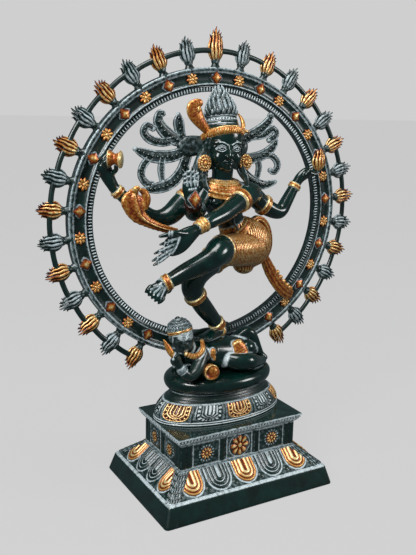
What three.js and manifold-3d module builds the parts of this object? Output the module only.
// Nataraja statue: a dancing figure with four arms inside a ring of flames,
// standing on a dwarf, a lotus pedestal and a stepped base.
// Millimetres, +Z up, the front of the figure faces -Y. The feet of the base
// stand on z = 0 and the ring is symmetric about x = 0.
import * as THREE from 'three';
import Module from 'manifold-3d';

const wasm = await Module();
wasm.setup();
const { Manifold, Mesh } = wasm;

// ---------------------------------------------------------------- dimensions
const GAP = 0.35; // clearance kept between two fitted castings

// stepped base: half sizes in x and y, and heights
const FOOT_HALF = [107.8, 78.2];
const FOOT_TOP_INSET = 5.5;
const FOOT_SLAB_TOP = 22;
const PETAL_INSET = 7.5;
const PETAL_TOP_INSET = 32;
const PETAL_TOP = 43;
const DADO_INSET = 34.5;
const DADO_TOP = 73.5;
const CORNICE_INSET = 27.3;
const CORNICE_BOTTOM = 77.5;
const CORNICE_TOP = 83;
const BASE_WALL = 6;

// oval pedestal and cushion
const OVAL_Y = 7;
const LOTUS_BOTTOM = [79, 43];
const LOTUS_NECK = [57, 33];
const LOTUS_TOP = 113.5;
const CUSHION_HALF = [65, 44];
const CUSHION_TOP = 134;

// ring of flames: radii along x, the height is RING_RATIO of the width
const RING_Z = 306.2;
const RING_RATIO = 0.945;
const RIM_R = 168.8;
const CHANNEL_OUT_R = 163.5;
const CHANNEL_IN_R = 150.5;
const BEAD_R = 148;
const RIB_IN_R = 141.8;
const RING_FRONT = 23;
const CHANNEL_Y = 26.5;
const RING_BACK = 35;
const RING_STEPS = 64;
const FLAME_STEP = 10.66; // degrees between two flames
const FLAME_SIDE = 14; // flames on each side of the top one
const FLAME_TIP_R = 202;
const LINK_R = 187;
const TOP_FLAME_EXTRA = 10.5;

// colours of the painted brass
const GREEN = 0x12312c;
const VERDIGRIS = 0x2b4442;
const GOLD = 0xc4792b;
const BRASS = 0xb5904a;
const STEEL = 0x8b8d90;

// ------------------------------------------------------------ solid builders
const V = (x, y, z) => new THREE.Vector3(x, y, z);

/** A closed solid from vertices and triangles, turned to face outward. */
function solid(vertices, triangles) {
  let volume = 0;
  for (const [a, b, c] of triangles) {
    volume += vertices[a].dot(vertices[b].clone().cross(vertices[c]));
  }
  const faces = volume < 0 ? triangles.map(([a, b, c]) => [a, c, b]) : triangles;
  return new Manifold(new Mesh({
    numProp: 3,
    vertProperties: new Float32Array(vertices.flatMap((v) => [v.x, v.y, v.z])),
    triVerts: new Uint32Array(faces.flat()),
  }));
}

/** Joins a stack of equal loops into a solid; the loops close on themselves. */
function skin(loops, capped = true) {
  const n = loops[0].length;
  const vertices = loops.flat();
  const triangles = [];
  const last = capped ? loops.length - 1 : loops.length;
  for (let i = 0; i < last; i += 1) {
    const a = i * n;
    const b = ((i + 1) % loops.length) * n;
    for (let k = 0; k < n; k += 1) {
      const m = (k + 1) % n;
      triangles.push([a + k, a + m, b + m], [a + k, b + m, b + k]);
    }
  }
  if (capped) {
    const middle = (loop) => loop.reduce((s, v) => s.add(v), V(0, 0, 0)).multiplyScalar(1 / n);
    const foot = vertices.push(middle(loops[0])) - 1;
    const head = vertices.push(middle(loops[loops.length - 1])) - 1;
    const top = (loops.length - 1) * n;
    for (let k = 0; k < n; k += 1) {
      const m = (k + 1) % n;
      triangles.push([foot, m, k], [head, top + k, top + m]);
    }
  }
  return solid(vertices, triangles);
}

/**
 * A cast limb through stations [x, y, z, r, r2]: r is the half width along
 * `across`, r2 the half width square to it. `grow` thickens it all round.
 */
function limb(stations, grow = 0, across = [0, 1, 0], sides = 10) {
  const at = stations.map((s) => V(s[0], s[1], s[2]));
  const side = V(...across).normalize();
  const tangents = at.map((p, i) => at[Math.min(i + 1, at.length - 1)].clone()
    .sub(at[Math.max(i - 1, 0)]).normalize());
  const loops = at.map((p, i) => {
    const t = tangents[i];
    const u = side.clone().addScaledVector(t, -side.dot(t)).normalize();
    const w = t.clone().cross(u);
    const r = stations[i][3] + grow;
    const r2 = (stations[i][4] ?? stations[i][3]) + grow;
    return Array.from({ length: sides }, (_, k) => {
      const a = (2 * Math.PI * (k + 0.5)) / sides;
      return p.clone().addScaledVector(u, r * Math.cos(a)).addScaledVector(w, r2 * Math.sin(a));
    });
  });
  if (grow > 0) {
    const shift = (loop, t, d) => loop.map((v) => v.clone().addScaledVector(t, d));
    loops[0] = shift(loops[0], tangents[0], -grow);
    loops[loops.length - 1] = shift(loops.at(-1), tangents.at(-1), grow);
  }
  return skin(loops);
}

/** An oval or rectangular stack of [halfX, halfY, z] levels about (0, yMid). */
function stack(levels, { oval = false, yMid = 0, sides = 32, grow = 0 } = {}) {
  return skin(levels.map(([hx, hy, z], i) => {
    const lift = i === 0 ? -grow : i === levels.length - 1 ? grow : 0;
    if (!oval) {
      return [[-1, -1], [1, -1], [1, 1], [-1, 1]]
        .map(([sx, sy]) => V(sx * (hx + grow), yMid + sy * (hy + grow), z + lift));
    }
    return Array.from({ length: sides }, (_, k) => {
      const a = (2 * Math.PI * k) / sides;
      return V((hx + grow) * Math.cos(a), yMid + (hy + grow) * Math.sin(a), z + lift);
    });
  }));
}

/** A flat profile of [radius, y] swept round the ellipse of the ring. */
function sweepRing(profile, steps = RING_STEPS) {
  return skin(Array.from({ length: steps }, (_, i) => {
    const a = (2 * Math.PI * i) / steps;
    return profile.map(([r, y]) => V(r * Math.sin(a), y, RING_Z + RING_RATIO * r * Math.cos(a)));
  }), false);
}

const union = (parts) => parts.reduce((a, b) => a.add(b));
const inset = (d) => [FOOT_HALF[0] - d, FOOT_HALF[1] - d];
const ball = (x, y, z, rx, ry, rz, grow = 0, n = 12) => Manifold.sphere(1, n)
  .scale([rx + grow, ry + grow, rz + grow]).translate([x, y, z]);
const rod = (x, y, z0, z1, r, grow = 0, n = 16) => Manifold
  .cylinder(z1 - z0 + 2 * grow, r + grow, r + grow, n).translate([x, y, z0 - grow]);

// -------------------------------------------------------------- stepped base
function footPlinth() {
  const outer = stack([[...FOOT_HALF, 0], [...inset(FOOT_TOP_INSET), FOOT_SLAB_TOP],
    [...inset(PETAL_INSET), FOOT_SLAB_TOP + 1.5], [...inset(PETAL_TOP_INSET), PETAL_TOP]]);
  const hollow = stack([[...inset(BASE_WALL), -1], [...inset(FOOT_TOP_INSET + BASE_WALL + 2), FOOT_SLAB_TOP - 5],
    [...inset(DADO_INSET + BASE_WALL), PETAL_TOP - 7], [...inset(DADO_INSET + BASE_WALL), PETAL_TOP + 1]]);
  return outer.subtract(hollow);
}

function dadoBox() {
  const outer = stack([[...inset(DADO_INSET), PETAL_TOP + GAP], [...inset(DADO_INSET), DADO_TOP],
    [...inset(CORNICE_INSET + 3), CORNICE_BOTTOM - GAP]]);
  const hollow = stack([[...inset(DADO_INSET + BASE_WALL), PETAL_TOP - 1],
    [...inset(DADO_INSET + BASE_WALL), CORNICE_BOTTOM + 1]]);
  return outer.subtract(hollow);
}

const corniceSlab = () => stack([[...inset(CORNICE_INSET + 1.5), CORNICE_BOTTOM],
  [...inset(CORNICE_INSET), CORNICE_BOTTOM + 2], [...inset(CORNICE_INSET), CORNICE_TOP]])
  .subtract(rod(0, OVAL_Y, CORNICE_BOTTOM - 2, CORNICE_TOP + 2, 4 + GAP));

function lotusPedestal() {
  const levels = [[...LOTUS_BOTTOM, CORNICE_TOP + GAP], [LOTUS_BOTTOM[0], LOTUS_BOTTOM[1], CORNICE_TOP + 4],
    [76, 41.5, 93], [70, 39, 104], [62, 36, 108.5], [...LOTUS_NECK, LOTUS_TOP]];
  const outer = stack(levels, { oval: true, yMid: OVAL_Y });
  const hollow = stack([[72, 36, CORNICE_TOP - 1], [66, 32, 97], [46, 24, 107]], { oval: true, yMid: OVAL_Y });
  return outer.subtract(hollow).subtract(rod(0, OVAL_Y, 104, LOTUS_TOP + 2, 4 + GAP));
}

const pedestalCushion = (grow = 0) => stack([[...LOTUS_NECK, LOTUS_TOP + GAP], [62, 41, 118], [...CUSHION_HALF, 123.5],
  [...CUSHION_HALF, 127.5], [63, 42, 131.5], [58, 38, CUSHION_TOP]], { oval: true, yMid: OVAL_Y, grow });

// ------------------------------------------------------------ ring of flames
const flameAngle = (k) => THREE.MathUtils.degToRad(k * FLAME_STEP);
const ringPoint = (r, y, a) => V(r * Math.sin(a), y, RING_Z + RING_RATIO * r * Math.cos(a));

function flame(k) {
  const a = flameAngle(k);
  const stretch = k === 0 ? 1 + TOP_FLAME_EXTRA / 34 / RING_RATIO : 1;
  const levels = [[-2, 4, 4], [5, 3.2, 3.2], [9, 6, 4.5], [16, 9, 6], [23, 6.5, 4.5], [FLAME_TIP_R - RIM_R, 0.9, 0.9]];
  return limb(levels.map(([d, w, depth]) => {
    const p = ringPoint(RIM_R + d * stretch, 28, a);
    return [p.x, p.y, p.z, depth, w];
  }), 0, [0, 1, 0], 6);
}

function link(k) {
  const [p, q] = [k, k + 1].map((i) => ringPoint(LINK_R, 28, flameAngle(i)));
  return limb([[p.x, p.y, p.z, 2.6], [q.x, q.y, q.z, 2.6]], 0, [0, 1, 0], 6);
}

function stud(k) {
  const p = ringPoint((CHANNEL_OUT_R + CHANNEL_IN_R) / 2, 0, flameAngle(k));
  return Manifold.cylinder(4.5, 5.6, 1.6, k % 2 ? 8 : 4).rotate([90, 0, 0])
    .rotate([0, k * FLAME_STEP, 0]).translate([p.x, CHANNEL_Y + 0.5, p.z]);
}

function flameRing() {
  const band = sweepRing([[RIM_R, RING_FRONT + 2], [RIM_R - 2, RING_FRONT], [CHANNEL_OUT_R + 0.5, RING_FRONT + 0.5],
    [CHANNEL_OUT_R, CHANNEL_Y], [CHANNEL_IN_R, CHANNEL_Y], [CHANNEL_IN_R - 0.6, RING_FRONT + 1],
    [BEAD_R, RING_FRONT + 1.5], [BEAD_R, RING_BACK], [RIM_R, RING_BACK]]);
  const ks = Array.from({ length: 2 * FLAME_SIDE + 1 }, (_, i) => i - FLAME_SIDE);
  return union([band, ...ks.map(flame), ...ks.slice(0, -1).map(link), ...ks.map(stud)]);
}

const ringInnerBand = (grow = 0) => sweepRing([[BEAD_R - GAP + grow, CHANNEL_Y - grow], [BEAD_R - GAP + grow, RING_BACK + grow],
  [RIB_IN_R - grow, RING_BACK + grow], [RIB_IN_R - grow, CHANNEL_Y - grow]]);

const ringSolid = (grow = 0) => sweepRing([[RIM_R + grow, RING_FRONT - grow], [RIM_R + grow, RING_BACK + grow],
  [RIB_IN_R - grow, RING_BACK + grow], [RIB_IN_R - grow, RING_FRONT - grow]]);

// upright saddle behind the dwarf that carries the bottom of the ring
const ringSaddle = (grow = 0) => stack([[46, 6, CUSHION_TOP + GAP], [40, 6, 163]], { yMid: 29, grow });

// --------------------------------------------------------------- the dancer
const hips = (g = 0) => union([
  limb([[12, 4, 296, 15, 17], [22, 4, 286, 19, 25], [31, 5, 273, 21, 31], [31, 5, 260, 18, 25], [29, 5, 252, 10, 13]], g),
  limb([[34, 2, 271, 20], [14, -10, 273, 18.5], [-4, -19, 275, 17], [-20, -27, 277, 15.6]], g, [0, 0, 1]),
  limb([[24, 7, 272, 16], [2, 4, 267, 15.5], [-16, -1, 261, 14.5]], g, [0, 0, 1]),
]);
const torso = (g = 0) => union([
  limb([[12, 3, 299, 13, 15.5], [7, 3, 308, 14, 17], [3, 3, 320, 16, 26], [1, 4, 332, 15, 32], [-1, 5, 341, 11, 24]], g),
  limb([[-2, 3, 338, 11], [-3.5, 1, 356, 10]], g),
]);
const head = (g = 0) => union([
  limb([[-3.5, 0, 358.5, 7, 6], [-3.8, -1, 362, 13, 11], [-3.8, -0.5, 370, 18, 17.5], [-3.8, 1, 383, 21, 21],
    [-4, 3, 396, 21.5, 22], [-4, 4, 404, 19, 20]], g, [0, 1, 0], 12),
]);
const crown = (g = 0) => limb([[-4, 5, 404.5, 20, 21], [-4, 6, 413, 19, 20.5], [-4, 8, 426, 16, 18],
  [-4, 11, 437, 10, 12], [-4, 13.5, 446, 2.6, 3]], g, [0, 1, 0], 12);
const crownCobra = (g = 0) => limb([[-25, 2, 401, 4, 4], [-32, 0, 407, 4, 5], [-41, -2, 415, 3.4, 7.5],
  [-43, -2, 422, 3.2, 7], [-36, -3, 425, 3, 4.5]], g);
const crownCrescent = (g = 0) => limb([[15, 0, 404, 3], [19.5, -2, 408, 3.4], [18.5, -1, 415, 2.6], [15.5, 1, 421, 1.4]], g, [0, 1, 0], 8);
const earring = (x, g = 0) => limb([[x, -3, 366, 9, 8], [x, -9, 366, 9, 8]], g, [0, 0, 1], 12);

/** One curled lock of the flying hair, flat against the ring. */
const lock = (points, g, r = 3.2) => limb(points.map(([x, z]) => [x, 13, z, 2.6, r]), g, [0, 1, 0], 6);
const hairFanLeft = (g = 0) => union([
  limb([[-24, 12, 384, 5, 8], [-34, 12, 384, 5, 9], [-47, 12, 383, 5, 10]], g),
  lock([[-40, 386], [-56, 391], [-70, 400], [-76, 410], [-72, 417]], g, 5),
  lock([[-44, 385], [-50, 400], [-51, 412]], g, 5),
  lock([[-60, 392], [-74, 389], [-86, 392], [-91, 400], [-84, 404], [-78, 399]], g, 3.5),
  lock([[-40, 380], [-60, 373], [-82, 374], [-100, 380]], g, 5.5),
  lock([[-86, 373], [-93, 362], [-92, 350], [-83, 345]], g, 3),
  lock([[-70, 373], [-71, 360], [-70, 347]], g, 2.6),
  lock([[-40, 378], [-48, 354], [-64, 343], [-88, 340]], g, 5),
]);
const hairFanRight = (g = 0) => union([
  limb([[16, 12, 384, 4, 8], [28, 12, 382, 4, 9]], g),
  lock([[24, 388], [39, 396], [53, 403], [62, 415]], g, 4.5),
  lock([[38, 394], [54, 396], [66, 402], [70, 393], [60, 388]], g, 3.2),
  lock([[24, 372], [38, 369], [56, 374], [70, 388]], g, 5),
  lock([[54, 374], [70, 371], [75, 359], [66, 354]], g, 3),
  lock([[46, 371], [50, 360], [47, 344]], g, 2.6),
  lock([[22, 372], [32, 351], [48, 342], [60, 339], [72, 343]], g, 4.5),
]);

const armFrontLeft = (g = 0) => union([
  limb([[32, 1, 333, 12, 12], [22, -8, 330.5, 11.5], [3, -18, 324.5, 9.8], [-22, -29.5, 315, 8.6], [-40, -36, 310.5, 7.6],
    [-52, -39, 306.3, 6.2], [-59, -41, 303.5, 5.8]], g, [0, 0, 1]),
  limb([[-57, -41, 304, 6.5, 5], [-68, -42, 298, 10.5, 5.5], [-79, -43, 292, 12.5, 5], [-92, -43.5, 286.5, 11.5, 4], [-104, -44, 281, 8, 3],
    [-112, -44, 279, 4.5, 2]], g, [0, 0, 1]),
  limb([[-70, -44, 301, 4], [-88, -46, 302.5, 3.2], [-104, -46, 300, 1.8]], g),
]);
const armFrontRight = (g = 0) => union([
  limb([[-29, 3, 333, 12, 11], [-36, -3, 324, 10.5], [-44, -11, 317, 9.5], [-50, -19, 322, 8.5], [-56, -28, 332, 6.3]], g, [1, 0, 0]),
  limb([[-56, -27, 330, 6.5, 5.5], [-59, -31, 342, 10.5, 5], [-61, -33, 354, 9, 4], [-65, -35, 366, 4, 2.4]], g, [1, 0, 0]),
]);
const armBackRight = (g = 0) => union([
  limb([[-34, 11, 331, 11, 12], [-46, 11, 325, 11, 12], [-60, 10, 313.5, 10.5, 11.5], [-72, 9.5, 309.5, 9.5, 9.5], [-84, 9.5, 311.5, 8.2], [-102, 10, 323.5, 7.4],
    [-117, 11, 335.5, 6.4], [-126, 11, 344, 5.6]], g),
  limb([[-125, 11, 343.5, 5.6], [-131.5, 11, 353, 6, 6.5], [-135, 11.5, 364, 6, 6.5], [-134, 12, 378, 4, 4]], g),
]);
const armBackLeft = (g = 0) => union([
  limb([[40, 11, 330, 11, 11], [52, 11, 321, 10.5], [66, 10, 312, 9.5], [79, 10, 307.5, 8.5], [88, 11, 318, 7.5], [98, 12, 333, 6.3], [104, 12, 342, 5.4]], g),
  limb([[103, 12, 340.5, 5.4], [112, 12, 349, 4.5, 6.5], [124, 13, 352, 4, 5.5], [133, 13, 350, 2.4, 3]], g),
]);
const armCobra = (g = 0) => union([
  limb([[-62, -3, 302, 2.6], [-78, -4, 306, 3.4], [-92, -5, 309, 5], [-106, -5, 316, 6.5], [-116, -5, 328, 6, 7],
    [-112, -6, 338, 4, 7]], g),
  limb([[-110, -7, 334, 4, 5], [-99, -7, 338, 4, 6.5], [-96, -7, 328, 4, 5.5], [-100, -5, 318, 4, 4]], g),
]);
const drum = (g = 0) => limb([[-134, 3.5, 372.5, 8], [-131, 1.4, 372.5, 7.6], [-128, -0.8, 372.3, 5.6], [-125, -3, 372.2, 7.6], [-123, -4.5, 372, 8]], g, [0, 0, 1], 12);
const handFlame = (g = 0) => limb([[126, 4, 356.5, 5, 6], [127, 3, 362, 5.5, 9], [128, 3, 368, 4.5, 8], [130, 3, 380, 1.2, 1.6]], g);
const legStanding = (g = 0) => union([
  limb([[-13, 0, 261.5, 14.5, 14.5], [-28, -5, 256, 14, 14.5], [-41, -10, 248, 13, 13.5], [-46, -12, 238, 12, 12], [-37, -9.5, 224, 10.5, 10],
    [-21, -4.5, 203, 10, 9.4], [-8, -1, 189, 8.4, 8], [-2, 1, 182, 9, 8.5]], g, [0, 1, 0]),
  limb([[8, 6, 180.5, 6, 6.5], [-4, 0, 181, 7.5, 6.5], [-18, -7, 179.5, 8.5, 5], [-32, -14, 178, 6, 3.5]], g, [0.45, -0.9, 0]),
]);
const legRaised = (g = 0) => union([
  limb([[-16, -24.5, 276.5, 15.8, 15.4], [-25, -33, 277.5, 15, 14.8], [-34, -39, 274.5, 12.8, 12.8], [-48, -38, 268, 11], [-66, -34.5, 259.5, 9.6],
    [-82, -31, 251.5, 7.8], [-90, -29, 247.5, 7.6]], g, [0, 0, 1]),
  limb([[-86, -24, 246, 7, 6], [-92, -30, 247.5, 8, 7.5], [-102, -38, 247.5, 6.2, 9], [-113, -47, 247, 3.8, 9.5]], g, [0, 0, 1]),
]);
const hipBow = (g = 0) => limb([[40, 6, 300, 4], [54, 8, 297, 4], [63, 9, 284, 4], [65, 9, 268, 4], [60, 9, 258, 4], [52, 9, 252, 3]], g, [0, 1, 0], 8);
const sash = (g = 0) => limb([[60, 9, 256, 2.8, 4], [64.5, 9, 250, 2.8, 5], [71, 9.5, 236.5, 2.8, 6], [84, 11, 220.5, 2.8, 6.5],
  [97, 14, 210, 2.8, 6.5], [108, 18, 205, 2.8, 5]], g, [0, 1, 0], 8);

// ----------------------------------------------------------------- the dwarf
const dwarfBody = (g = 0) => union([
  limb([[-44, -7, 166, 11, 11], [-34, -4, 160, 16, 16], [-16, -2, 156, 19, 19.5], [6, -1, 153, 19, 19], [24, 1, 151, 17, 16],
    [36, 3, 149, 12, 12]], g),
]);
const dwarfHead = (g = 0) => union([
  limb([[-50, -13, 170, 8, 8], [-54, -12, 175, 12, 12], [-57, -10, 184, 13.6, 13], [-59, -8, 193, 12.4, 12.2],
    [-60, -7, 200, 7, 7]], g),
]);
const dwarfLegFront = (g = 0) => limb([[-2, -19, 150, 9], [10, -24, 147, 10], [22, -23, 145.5, 9], [36, -17, 142, 7], [50, -10, 139.5, 5]], g, [0, 0, 1]);
const dwarfLegBack = (g = 0) => limb([[22, 8, 160, 9], [33, 8, 168, 8], [42, 6, 167, 7.5], [48, 4, 156, 6.5], [53, 2, 144, 6],
  [58, -1, 138.5, 4.5, 4]], g);
const dwarfArmFront = (g = 0) => union([
  limb([[-36, -20, 160, 7], [-46, -26, 151, 7], [-55, -29, 144.5, 6.2], [-61, -29, 147, 5.6], [-68, -27, 156, 4.8], [-72, -26, 165, 5.5, 4]], g),
]);
const dwarfArmBack = (g = 0) => limb([[-34, 12, 168, 6], [-22, 15, 173, 5.6], [-8, 15, 175, 4.6], [2, 12, 173, 4]], g);
const dwarfSnake = (g = 0) => limb([[-75, -26, 168, 2.2], [-79, -24, 176, 3.6, 2.8], [-83, -22, 184, 1.2]], g, [0, 1, 0], 8);
const dwarfShield = (g = 0) => limb([[-30, -27, 144, 8.6], [-31, -33, 144.5, 8.6]], g, [0, 0, 1], 16);

// ------------------------------------------------- fixings under the statue
const tieRod = (g = 0) => rod(0, OVAL_Y, 50, 156, 3, g, 12);
const tieWasher = () => rod(0, OVAL_Y, CORNICE_BOTTOM - 3, CORNICE_BOTTOM - GAP, 12, 0, 24).subtract(tieRod(GAP));
const tieNut = () => rod(0, OVAL_Y, CORNICE_BOTTOM - 9, CORNICE_BOTTOM - 3 - GAP, 6, 0, 6).subtract(tieRod(GAP));
const ringScrew = (x, g = 0) => Manifold.cylinder(14 + 2 * g, 2 + g, 2 + g, 12).rotate([90, 0, 0]).translate([x, 41 + g, 157])
  .add(Manifold.cylinder(4 + 2 * g, 4.5 + g, 4.5 + g, 12).rotate([90, 0, 0]).translate([x, 45 + g, 157]));

// ------------------------------------------------------------------ assembly
// Earlier pieces keep their full shape; later ones are cut back round them.
const fitted = [
  ['tie_rod', tieRod, STEEL, 0.35, 0.9],
  ['head', head, GREEN, 0.3, 0.55],
  ['crown', crown, VERDIGRIS, 0.5, 0.5],
  ['torso', torso, GREEN, 0.28, 0.55],
  ['hips', hips, GOLD, 0.4, 0.8],
  ['leg_raised', legRaised, GREEN, 0.25, 0.55],
  ['leg_standing', legStanding, GREEN, 0.25, 0.55],
  ['arm_front_left', armFrontLeft, GREEN, 0.25, 0.55],
  ['arm_front_right', armFrontRight, GREEN, 0.28, 0.55],
  ['arm_back_left', armBackLeft, GREEN, 0.25, 0.55],
  ['arm_back_right', armBackRight, GREEN, 0.25, 0.55],
  ['earring_left', (g) => earring(19.5, g), GOLD, 0.4, 0.8],
  ['earring_right', (g) => earring(-31, g), GOLD, 0.4, 0.8],
  ['hair_fan_left', hairFanRight, VERDIGRIS, 0.5, 0.5],
  ['hair_fan_right', hairFanLeft, VERDIGRIS, 0.5, 0.5],
  ['crown_cobra', crownCobra, GOLD, 0.4, 0.8],
  ['crown_crescent', crownCrescent, GOLD, 0.4, 0.8],
  ['arm_cobra', armCobra, GOLD, 0.4, 0.8],
  ['drum', drum, GOLD, 0.35, 0.85],
  ['hand_flame', handFlame, GOLD, 0.35, 0.85],
  ['hip_bow', hipBow, GOLD, 0.4, 0.8],
  ['sash', sash, GOLD, 0.4, 0.8],
  ['dwarf_body', dwarfBody, GREEN, 0.28, 0.55],
  ['dwarf_head', dwarfHead, VERDIGRIS, 0.45, 0.5],
  ['dwarf_leg_front', dwarfLegFront, GREEN, 0.25, 0.55],
  ['dwarf_leg_back', dwarfLegBack, GREEN, 0.25, 0.55],
  ['dwarf_arm_front', dwarfArmFront, VERDIGRIS, 0.4, 0.5],
  ['dwarf_arm_back', dwarfArmBack, GREEN, 0.3, 0.55],
  ['dwarf_snake', dwarfSnake, GOLD, 0.4, 0.8],
  ['dwarf_shield', dwarfShield, GOLD, 0.35, 0.85],
];
// Castings that the whole figure is cut back from.
const grounds = [ringSolid, pedestalCushion, ringSaddle];

const group = new THREE.Group();
group.name = 'nataraja_statue';

/** Adds one casting as a named mesh. */
function place(name, manifold, color, roughness, metalness) {
  const pieces = manifold.decompose().sort((a, b) => b.volume() - a.volume());
  const { vertProperties, triVerts, numProp } = pieces[0].getMesh();
  const geometry = new THREE.BufferGeometry();
  const xyz = new Float32Array((vertProperties.length / numProp) * 3);
  for (let i = 0; i < xyz.length / 3; i += 1) {
    xyz.set(vertProperties.subarray(i * numProp, i * numProp + 3), i * 3);
  }
  geometry.setAttribute('position', new THREE.BufferAttribute(xyz, 3));
  geometry.setIndex(new THREE.BufferAttribute(new Uint32Array(triVerts), 1));
  geometry.computeVertexNormals();
  const material = new THREE.MeshStandardMaterial({ color, roughness, metalness });
  const mesh = new THREE.Mesh(geometry, material);
  mesh.name = name;
  group.add(mesh);
}

const screwHoles = (body) => body.subtract(ringScrew(-26, GAP)).subtract(ringScrew(26, GAP));
place('foot_plinth', footPlinth(), GREEN, 0.3, 0.5);
place('dado_box', dadoBox(), VERDIGRIS, 0.4, 0.5);
place('cornice_slab', corniceSlab(), GREEN, 0.3, 0.5);
place('lotus_pedestal', lotusPedestal(), VERDIGRIS, 0.4, 0.5);
place('pedestal_cushion', pedestalCushion().subtract(tieRod(GAP)), GREEN, 0.22, 0.5);
place('flame_ring', screwHoles(flameRing()), VERDIGRIS, 0.4, 0.55);
place('ring_inner_band', ringInnerBand(), VERDIGRIS, 0.5, 0.5);
place('ring_saddle', screwHoles(ringSaddle().subtract(ringSolid(GAP))), GREEN, 0.35, 0.5);
place('ring_screw_left', ringScrew(26), STEEL, 0.35, 0.9);
place('ring_screw_right', ringScrew(-26), STEEL, 0.35, 0.9);
place('tie_washer', tieWasher(), STEEL, 0.35, 0.9);
place('tie_nut', tieNut(), BRASS, 0.35, 0.9);

const around = union(grounds.map((ground) => ground(GAP)));
fitted.forEach(([name, shape, color, roughness, metalness], i) => {
  let body = shape(0);
  if (name !== 'tie_rod') body = body.subtract(around);
  for (const [, earlier] of fitted.slice(0, i)) body = body.subtract(earlier(GAP));
  place(name, body, color, roughness, metalness);
});

export default group;
